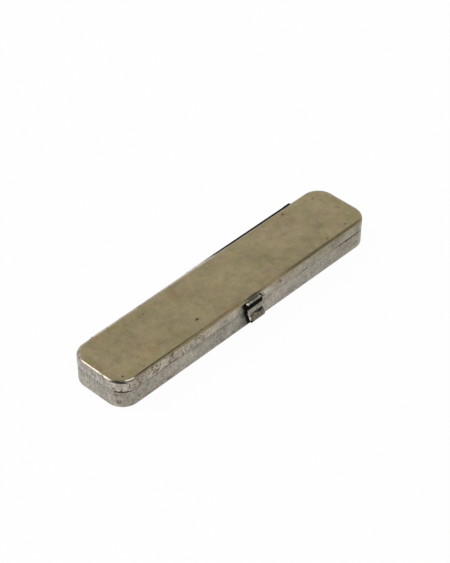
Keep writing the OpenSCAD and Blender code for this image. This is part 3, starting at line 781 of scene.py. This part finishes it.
def clasp_metal():
    """Plate speckled on its face, with painted highlights on its knuckle and corners, and painted shade in dull black
    round its knuckle, under its ridge and under its lip's left end.
    """
    metal, at = start_metal("clasp_plate_metal")
    x, y, z = at.axes()
    depth = y * -1 - 20.7
    grain = cloud(at, 0.9, 4.0, 0.75, shift=41)
    streak = cloud(at, 1.0, 3.0, 0.7, (0.8, 2, 4), 45).rise(0.36, 0.64)
    colour = streak.tint(shade(128, 123, 109), shade(154, 150, 136))
    # Painted light: the knuckles lighter, the tongue's own knuckle in the middle less so
    knuckle = z.rise(16.4, 16.9)
    colour = knuckle.tint(colour, shade(158, 155, 145))
    colour = (knuckle * (x - 0.5).of("ABSOLUTE").rise(3.6, 1.5) * 0.6).tint(colour, shade(112, 108, 98))
    lip = z.rise(8.9, 7.9)
    colour = lip.tint(colour, streak.tint(shade(88, 83, 72), shade(122, 117, 103)))
    # Painted highlights: the tongue's left edge by the ridge, the lip's left corner and the left ear's top
    colour = (x.rise(-3.4, -4.3) * z.rise(12.5, 9.5)).tint(colour, shade(160, 157, 143))
    clasp_highlights = spots(at, [((-4.4, -23.2, 7.1), (0.9, 1.4, 1.3), 1.0), ((-5.6, -22, 17.5), (1.5, 2, 0.9), 1.0)], grain)
    colour = clasp_highlights.tint(colour, shade(242, 238, 226))
    specks = cloud(at, 0.9, 3.0, 0.7, shift=47).rise(0.53, 0.62)
    colour = (specks * 0.75).tint(colour, shade(62, 56, 46))
    # Painted shadow under the ridge
    ridge_shadow = spots(at, [((4.3, -22, 8.5), (3.2, 3, 1.5), 1.0), ((0.8, -22, 8.8), (3.2, 3, 0.8), 0.9),
                        ((-2.2, -22, 8.0), (1.6, 3, 0.7), 0.6)], grain, 0.5, 0.4)
    colour = (ridge_shadow * 0.95).tint(colour, shade(44, 35, 32))
    # Painted shade in black: the groove under the knuckle, under the lip's left end, and the back of the roll
    knuckle_shadow = (z + (grain - 0.5) * 0.5).rise(17.6, 17.3) * (z + (grain - 0.5) * 1.5).rise(12.0, 12.8)
    under = z.rise(6.2, 5.6) * x.rise(-2.6, -3.8)
    back = depth.rise(0.6, 0.35) * z.rise(17.2, 17.6)
    black = knuckle_shadow.most(back).most(under)
    colour = black.tint(colour, shade(24, 21, 16))
    # Dull black over the painted shade and painted shadow
    roughness = 0.28 + (grain - 0.5) * 0.3 + black * 0.3 + ridge_shadow * 0.2 + specks * 0.2 + lip * 0.08
    height = 0.5 + (grain - 0.5) * 0.6 - black * 0.2 - specks * 0.2
    return finish_metal(metal, colour.lit(1 + (grain - 0.5) * 0.6), roughness, 1 - ridge_shadow * 0.3, height,
                        0.00003, (black * 0.85).most(ridge_shadow * 0.5))


clasp_steel = clasp_metal()


def front_strip(name, middle, half, path, shares):
    """A strip of sheet up the front of the case, from a path of (depth, height) and the places of its columns."""
    return bent_sheet(name, [[(clasp_x + middle + share * half, lid_low.y - depth, height, clasp_sheet)
                              for depth, height in path] for share in shares], 0.00007, clasp_steel)


on_wall = clasp_sheet / 2
plate_path = [(on_wall, z) for z in (plate_low.z, plate_low.z + 0.0002, 0.0144, 0.01605, 0.01625)]
ear_foot = [(on_wall, 0.0150), (on_wall, 0.0156), (on_wall, 0.0159)]
ear_bend = ease(ear_foot[-1], (0, 0.0010), (pin_depth - roll_r, pin_z), (0, 0.0010), 5)
ear_path = ear_foot + ear_bend + arc((pin_depth, pin_z), roll_r, 180, roll_end)
ear_half = ear_width / 2
folded_clasp_plate = joined("folded_clasp_plate", [
    front_strip("plate", 0, clasp_half, plate_path, [-1, -0.9, -0.5, 0, 0.5, 0.9, 1]),
    front_strip("left_ear", ear_half - clasp_half, ear_half, ear_path, [-1.5, 0, 1]),
    front_strip("right_ear", clasp_half - ear_half, ear_half, ear_path, [-1, 0, 1])])
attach(folded_clasp_plate, "lid")
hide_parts("clasp_plate")

# The clasp's tongue
# A springy strip that hangs from its own rolled knuckle between the ears. It bulges into a ridge that snaps over the
# catch, then turns out into a lip with a curled edge for the thumb.
tongue_half = (tongue_high.x - tongue_low.x) / 2
# Its knuckle fits the left ear closely and stops short of the right one
knuckle_left, knuckle_right = -clasp_half + ear_width + 0.00012, clasp_half - ear_width - 0.0010
# How far in front of the skirt it hangs from the knuckle
hang = 0.0007
# The lip has round corners, and years of thumbs have drawn it down a little
lip_corner, corner_top, lip_drop = 0.0013, 0.0059, 0.0004
# Down the middle of the sheet, in millimetres: depth along the tongue's middle, depth along its edges, height
tongue_line = [
    (0.70, 0.70, 15.2), (0.70, 0.70, 13.9), (0.70, 0.70, 13.1), (0.72, 0.71, 12.6), (0.83, 0.73, 12.25),
    (1.02, 0.77, 12.05), (1.26, 0.81, 11.85), (1.45, 0.85, 11.58), (1.60, 0.89, 11.28), (1.70, 0.93, 11.0),
    (1.75, 0.98, 10.7), (1.74, 1.04, 10.4), (1.68, 1.13, 10.1), (1.57, 1.24, 9.75), (1.49, 1.38, 9.4),
    (1.49, 1.55, 9.0), (1.60, 1.74, 8.6), (1.80, 1.95, 8.2), (2.05, 2.17, 7.8), (2.32, 2.40, 7.35),
    (2.60, 2.64, 6.9), (2.87, 2.88, 6.4), (3.10, 3.10, 5.9), (3.25, 3.25, 5.45), (3.27, 3.27, 5.05),
    (3.15, 3.15, 4.75), (2.92, 2.92, 4.62), (2.68, 2.68, 4.68)]


def tongue_column(share):
    """One column of the tongue: share runs from -1 at its left edge to 1 at its right edge."""
    edge = soft_step(abs(share), 0.80, 1.0)
    knuckle_x = clasp_x + (knuckle_left + knuckle_right) / 2 + share * (knuckle_right - knuckle_left) / 2
    column = [(knuckle_x, lid_low.y - d, h, clasp_sheet)
              for d, h in arc((pin_depth, pin_z), roll_r, roll_end, 180) + [(hang, 0.0167), (hang, 0.01604)]]
    column.append((clasp_x + share * tongue_half, lid_low.y - hang, 0.01600, clasp_sheet))
    for middle, side, height in tongue_line:
        depth = (middle + (side - middle) * edge) / 1000
        past = min(lip_corner, max(0.0, corner_top - height / 1000))
        half = tongue_half - lip_corner + math.sqrt(lip_corner**2 - past**2)
        lower = lip_drop * soft_step(height, 13, 8)
        column.append((clasp_x + share * half, lid_low.y - depth, height / 1000 - lower, clasp_sheet))
    return column


shares = [-1, -0.96, -0.9, -0.85, -0.8, -0.5, -0.2, 0.2, 0.5, 0.8, 0.85, 0.9, 0.96, 1]
sprung_tongue = bent_sheet("sprung_tongue", [tongue_column(share) for share in shares], 0.00006, clasp_steel)
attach(sprung_tongue, "tongue")
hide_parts("clasp_tongue")

# The wires and the catch
# Steel wire through both hinges, peened at its ends, and the little beaded plate under the tongue. Their shapes are
# the frame's own.


def wire_metal():
    """Drawn steel wire, dull, with fine rings of wear."""
    metal, at = start_metal("pin_wire")
    rings = cloud(at, 0.5, 2.0, 0.6, (0.4, 3, 3), 51)
    colour = rings.rise(0.4, 0.6).tint(shade(98, 94, 86), shade(140, 136, 126))
    return finish_metal(metal, colour, 0.38 + (rings - 0.5) * 0.3, 1 - rings * 0.1, rings, 0.00001)


pin_wire = wire_metal()
for name, metal in (("hinge_pin", pin_wire), ("clasp_pin", pin_wire), ("catch_plate", clasp_steel)):
    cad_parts[name].data.materials.clear()
    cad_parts[name].data.materials.append(metal)

# The floor, the light and the camera
# A white sweep under the case, one large soft lamp high at the back left, and the long lens of the photograph.


def floor_paper():
    """White paper that keeps the case's soft shadow. Camera and mirror rays see it white."""
    paper = bpy.data.materials.new("floor_paper")
    paper.use_nodes = True
    paper.node_tree.nodes.clear()
    wire = Wire(paper.node_tree)
    rays = wire.node("ShaderNodeLightPath", out="Is Camera Ray")
    seen = rays.most(rays.pick("Is Glossy Ray")).most(rays.pick("Is Transmission Ray"))
    matt = wire.node("ShaderNodeBsdfDiffuse", {}, {"Color": (0.85, 0.85, 0.85, 1)})
    white = wire.node("ShaderNodeEmission", {}, {"Color": (1, 1, 1, 1), "Strength": 1.0})
    mixed = wire.node("ShaderNodeMixShader", {}, {0: seen * 0.965, 1: matt, 2: white})
    wire.node("ShaderNodeOutputMaterial", {}, {"Surface": mixed})
    return paper


floor_mesh = bpy.data.meshes.new("floor")
floor_mesh.from_pydata([(-4, -4, 0), (4, -4, 0), (4, 4, 0), (-4, 4, 0)], [], [(0, 1, 2, 3)])
floor_mesh.materials.append(floor_paper())
floor = bpy.data.objects.new("floor", floor_mesh)
floor.location.z = -0.0001
bpy.context.scene.collection.objects.link(floor)

room = bpy.data.worlds.new("room")
room.use_nodes = True
room.node_tree.nodes.clear()
wire = Wire(room.node_tree)
seen = wire.node("ShaderNodeLightPath", out="Is Camera Ray")
way = wire.node("ShaderNodeTexCoord", out="Generated").vector("NORMALIZE")
overhead = way.vector("DOT_PRODUCT", (0.0, -0.25, 0.968), out="Value").rise(0.64, 0.84)
# Even light from the sides, half as strong from overhead
soft = wire.node("ShaderNodeBackground", {}, {"Color": (1, 1, 1, 1), "Strength": 1.05 - overhead * 0.52})
white = wire.node("ShaderNodeBackground", {}, {"Color": (1, 1, 1, 1), "Strength": 1.0})
mixed = wire.node("ShaderNodeMixShader", {}, {0: seen, 1: soft, 2: white})
wire.node("ShaderNodeOutputWorld", {}, {"Surface": mixed})
bpy.context.scene.world = room


def soft_lamp(name, place, aim, size, power):
    """A square soft lamp that faces a point."""
    light = bpy.data.lights.new(name, "AREA")
    light.shape, light.size, light.energy, light.color = "SQUARE", size, power, (1.0, 0.96, 0.88)
    lamp = bpy.data.objects.new(name, light)
    lamp.location = place
    lamp.rotation_euler = (Vector(aim) - Vector(place)).to_track_quat("-Z", "Y").to_euler()
    bpy.context.scene.collection.objects.link(lamp)


soft_lamp("back_left_lamp", (-0.95, 0.9, 1.14), (0, 0, 0), 0.6, 4.6)

lens = bpy.data.cameras.new("long_lens")
lens.lens, lens.sensor_width = 125.46, 36
lens.clip_start, lens.clip_end = 0.05, 20
camera = bpy.data.objects.new("camera", lens)
turn, tilt, roll = math.radians(-46.393), math.radians(41.149), math.radians(0.139)
back = Vector((math.sin(turn) * math.cos(tilt), -math.cos(turn) * math.cos(tilt), math.sin(tilt)))
level = (-back).cross(Vector((0, 0, 1))).normalized()
upward = level.cross(-back)
right = level * math.cos(roll) + upward * math.sin(roll)
upright = upward * math.cos(roll) - level * math.sin(roll)
facing = Matrix((right, upright, back)).transposed().to_4x4()
camera.matrix_world = Matrix.Translation((-0.5949, -0.5666, 0.7357)) @ facing
bpy.context.scene.collection.objects.link(camera)
bpy.context.scene.camera = camera
bpy.context.scene.view_settings.view_transform = "Standard"
